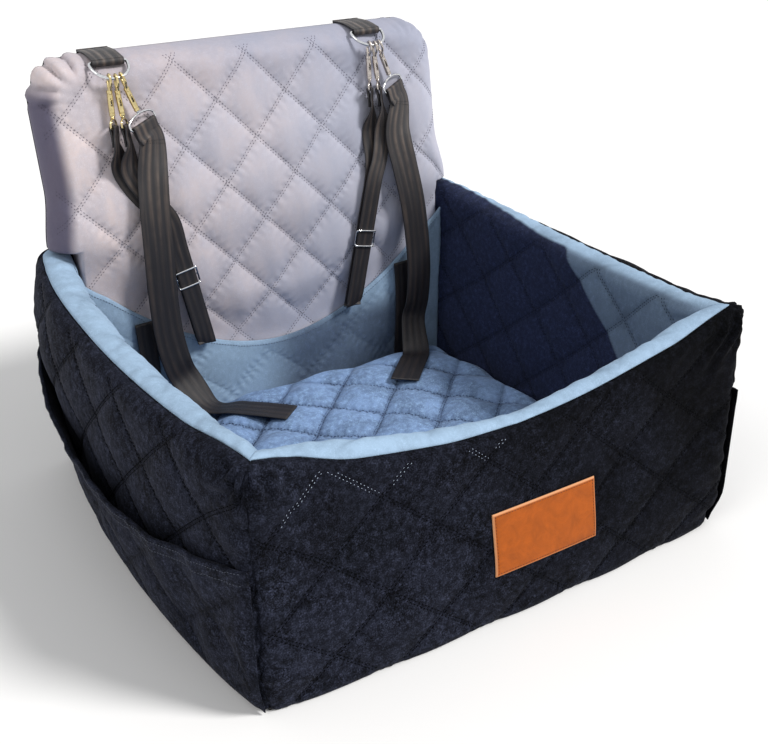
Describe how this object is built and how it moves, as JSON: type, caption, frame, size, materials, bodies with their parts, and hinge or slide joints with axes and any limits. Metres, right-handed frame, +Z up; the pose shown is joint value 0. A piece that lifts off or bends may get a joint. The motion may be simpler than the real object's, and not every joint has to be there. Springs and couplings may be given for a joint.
{
  "type": "dog car seat",
  "caption": "Quilted box seat for a dog in a car, with a tall padded backrest, loose cushion, side pockets, and snap hooks with webbing straps.",
  "frame": {"origin": "middle of the underside, on the face that rests on the car's seat", "axes": "+X to the seat's right seen from the front, -Y towards the front wall, +Z up"},
  "size_m": [0.7116, 0.6273, 0.5247],
  "materials": {
    "navy_velvet": "soft navy velvet, diamond quilted",
    "blue_velvet": "pale blue velvet, diamond quilted",
    "lilac_velvet": "lilac grey velvet, diamond quilted",
    "black_webbing": "ribbed black webbing",
    "tan_leather": "smooth tan leather with a stitched border",
    "gold_plating": "polished pale gold plating",
    "nickel_plating": "polished nickel plating",
    "chrome": "polished chrome",
    "spring_steel": "plain spring steel",
    "foam": "open foam",
    "board": "stiff grey board"
  },
  "bodies": {
    "box": {"bottom_cover": "black_webbing", "base_board": "board", "floor_lining": "blue_velvet", "front_outer_cover": "navy_velvet", "left_outer_cover": "navy_velvet", "right_outer_cover": "navy_velvet", "rear_outer_cover": "navy_velvet", "front_inner_lining": "blue_velvet", "left_inner_lining": "blue_velvet", "right_inner_lining": "blue_velvet", "rear_inner_lining": "blue_velvet", "front_wall_foam": "foam", "left_wall_foam": "foam", "right_wall_foam": "foam", "left_pocket": "navy_velvet", "right_pocket": "navy_velvet", "label_patch": "tan_leather", "left_anchor_strap": "black_webbing", "right_anchor_strap": "black_webbing"},
    "cushion": {"seat_cushion": "blue_velvet"},
    "backrest": {"backrest_front_cover": "lilac_velvet", "backrest_back_cover": "navy_velvet", "backrest_foam": "foam", "left_ring_tab": "black_webbing", "right_ring_tab": "black_webbing"},
    "left_ring": {"left_tab_ring": "chrome"},
    "left_hook_set": {"left_snap_1_eye": "gold_plating", "left_snap_2_eye": "gold_plating", "left_snap_3_eye": "chrome", "left_tether_strap": "black_webbing", "left_leash_strap": "black_webbing"},
    "left_snap_1": {"left_snap_1_body": "gold_plating", "left_snap_1_spring": "spring_steel"},
    "left_bolt_1": {"left_snap_1_bolt": "gold_plating"},
    "left_snap_2": {"left_snap_2_body": "gold_plating", "left_snap_2_spring": "spring_steel"},
    "left_bolt_2": {"left_snap_2_bolt": "gold_plating"},
    "left_snap_3": {"left_snap_3_body": "gold_plating", "left_snap_3_spring": "spring_steel"},
    "left_bolt_3": {"left_snap_3_bolt": "gold_plating"},
    "left_slider": {"left_leash_slider": "chrome"},
    "right_ring": {"right_tab_ring": "chrome"},
    "right_hook_set": {"right_snap_1_eye": "nickel_plating", "right_snap_2_eye": "nickel_plating", "right_snap_3_eye": "chrome", "right_tether_strap": "black_webbing", "right_leash_strap": "black_webbing"},
    "right_snap_1": {"right_snap_1_body": "nickel_plating", "right_snap_1_spring": "spring_steel"},
    "right_bolt_1": {"right_snap_1_bolt": "nickel_plating"},
    "right_snap_2": {"right_snap_2_body": "nickel_plating", "right_snap_2_spring": "spring_steel"},
    "right_bolt_2": {"right_snap_2_bolt": "nickel_plating"},
    "right_snap_3": {"right_snap_3_body": "nickel_plating", "right_snap_3_spring": "spring_steel"},
    "right_bolt_3": {"right_snap_3_bolt": "nickel_plating"},
    "right_slider": {"right_leash_slider": "chrome"}
  },
  "joints": [
    {"name": "cushion_lift", "type": "slide", "parent": "box", "child": "cushion", "axis": [0, 0, 1], "range_m": [0, 0.15], "deforming": ["left_tether_strap", "left_leash_strap", "right_tether_strap", "right_leash_strap"]},
    {"name": "backrest_lift", "type": "slide", "parent": "box", "child": "backrest", "axis": [0, 0, 1], "range_m": [0, 0.25]},
    {"name": "left_ring_swing", "type": "hinge", "parent": "backrest", "child": "left_ring", "pos_m": [-0.192, 0.27016, 0.51625], "axis": [-1, 0, 0], "range_deg": [0, 50]},
    {"name": "left_hooks_swing", "type": "hinge", "parent": "left_ring", "child": "left_hook_set", "pos_m": [-0.192, 0.24667, 0.501], "axis": [1, 0, 0], "range_deg": [0, 50]},
    {"name": "left_snap_1_swivel", "type": "hinge", "parent": "left_hook_set", "child": "left_snap_1", "pos_m": [-0.20208, 0.24535, 0.458], "axis": [0.0523, 0.1674, 0.9845], "range_deg": [-12, 12]},
    {"name": "left_bolt_1_slide", "type": "slide", "parent": "left_snap_1", "child": "left_bolt_1", "axis": [-0.0523, -0.1674, -0.9845], "range_m": [0, 0.007], "stiffness_N_per_m": 300, "springref_m": -0.005, "deforming": ["left_snap_1_spring"]},
    {"name": "left_snap_2_swivel", "type": "hinge", "parent": "left_hook_set", "child": "left_snap_2", "pos_m": [-0.1901, 0.2442, 0.45724], "axis": [-0.0436, 0.1674, 0.9849], "range_deg": [-12, 12]},
    {"name": "left_bolt_2_slide", "type": "slide", "parent": "left_snap_2", "child": "left_bolt_2", "axis": [0.0436, -0.1674, -0.9849], "range_m": [0, 0.007], "stiffness_N_per_m": 300, "springref_m": -0.005, "deforming": ["left_snap_2_spring"]},
    {"name": "left_snap_3_swivel", "type": "hinge", "parent": "left_hook_set", "child": "left_snap_3", "pos_m": [-0.17073, 0.2457, 0.46004], "axis": [-0.309, 0.1594, 0.9376], "range_deg": [-12, 12]},
    {"name": "left_bolt_3_slide", "type": "slide", "parent": "left_snap_3", "child": "left_bolt_3", "axis": [0.309, -0.1594, -0.9376], "range_m": [0, 0.007], "stiffness_N_per_m": 300, "springref_m": -0.005, "deforming": ["left_snap_3_spring"]},
    {"name": "left_slider_slide", "type": "slide", "parent": "left_hook_set", "child": "left_slider", "axis": [-0.1902, 0, 0.9817], "range_m": [-0.03, 0.03]},
    {"name": "right_ring_swing", "type": "hinge", "parent": "backrest", "child": "right_ring", "pos_m": [0.164, 0.27016, 0.51625], "axis": [-1, 0, 0], "range_deg": [0, 50]},
    {"name": "right_hooks_swing", "type": "hinge", "parent": "right_ring", "child": "right_hook_set", "pos_m": [0.164, 0.24667, 0.501], "axis": [1, 0, 0], "range_deg": [0, 50]},
    {"name": "right_snap_1_swivel", "type": "hinge", "parent": "right_hook_set", "child": "right_snap_1", "pos_m": [0.15392, 0.24535, 0.458], "axis": [0.0523, 0.1674, 0.9845], "range_deg": [-12, 12]},
    {"name": "right_bolt_1_slide", "type": "slide", "parent": "right_snap_1", "child": "right_bolt_1", "axis": [-0.0523, -0.1674, -0.9845], "range_m": [0, 0.007], "stiffness_N_per_m": 300, "springref_m": -0.005, "deforming": ["right_snap_1_spring"]},
    {"name": "right_snap_2_swivel", "type": "hinge", "parent": "right_hook_set", "child": "right_snap_2", "pos_m": [0.1659, 0.2442, 0.45724], "axis": [-0.0436, 0.1674, 0.9849], "range_deg": [-12, 12]},
    {"name": "right_bolt_2_slide", "type": "slide", "parent": "right_snap_2", "child": "right_bolt_2", "axis": [0.0436, -0.1674, -0.9849], "range_m": [0, 0.007], "stiffness_N_per_m": 300, "springref_m": -0.005, "deforming": ["right_snap_2_spring"]},
    {"name": "right_snap_3_swivel", "type": "hinge", "parent": "right_hook_set", "child": "right_snap_3", "pos_m": [0.18527, 0.2457, 0.46004], "axis": [-0.309, 0.1594, 0.9376], "range_deg": [-12, 12]},
    {"name": "right_bolt_3_slide", "type": "slide", "parent": "right_snap_3", "child": "right_bolt_3", "axis": [0.309, -0.1594, -0.9376], "range_m": [0, 0.007], "stiffness_N_per_m": 300, "springref_m": -0.005, "deforming": ["right_snap_3_spring"]},
    {"name": "right_slider_slide", "type": "slide", "parent": "right_hook_set", "child": "right_slider", "axis": [0.2137, 0, 0.9769], "range_m": [-0.03, 0.03]}
  ],
  "couplings": [
    {"joint": "left_ring_swing", "follows": "left_hooks_swing", "ratio": 1},
    {"joint": "right_ring_swing", "follows": "right_hooks_swing", "ratio": 1}
  ]
}
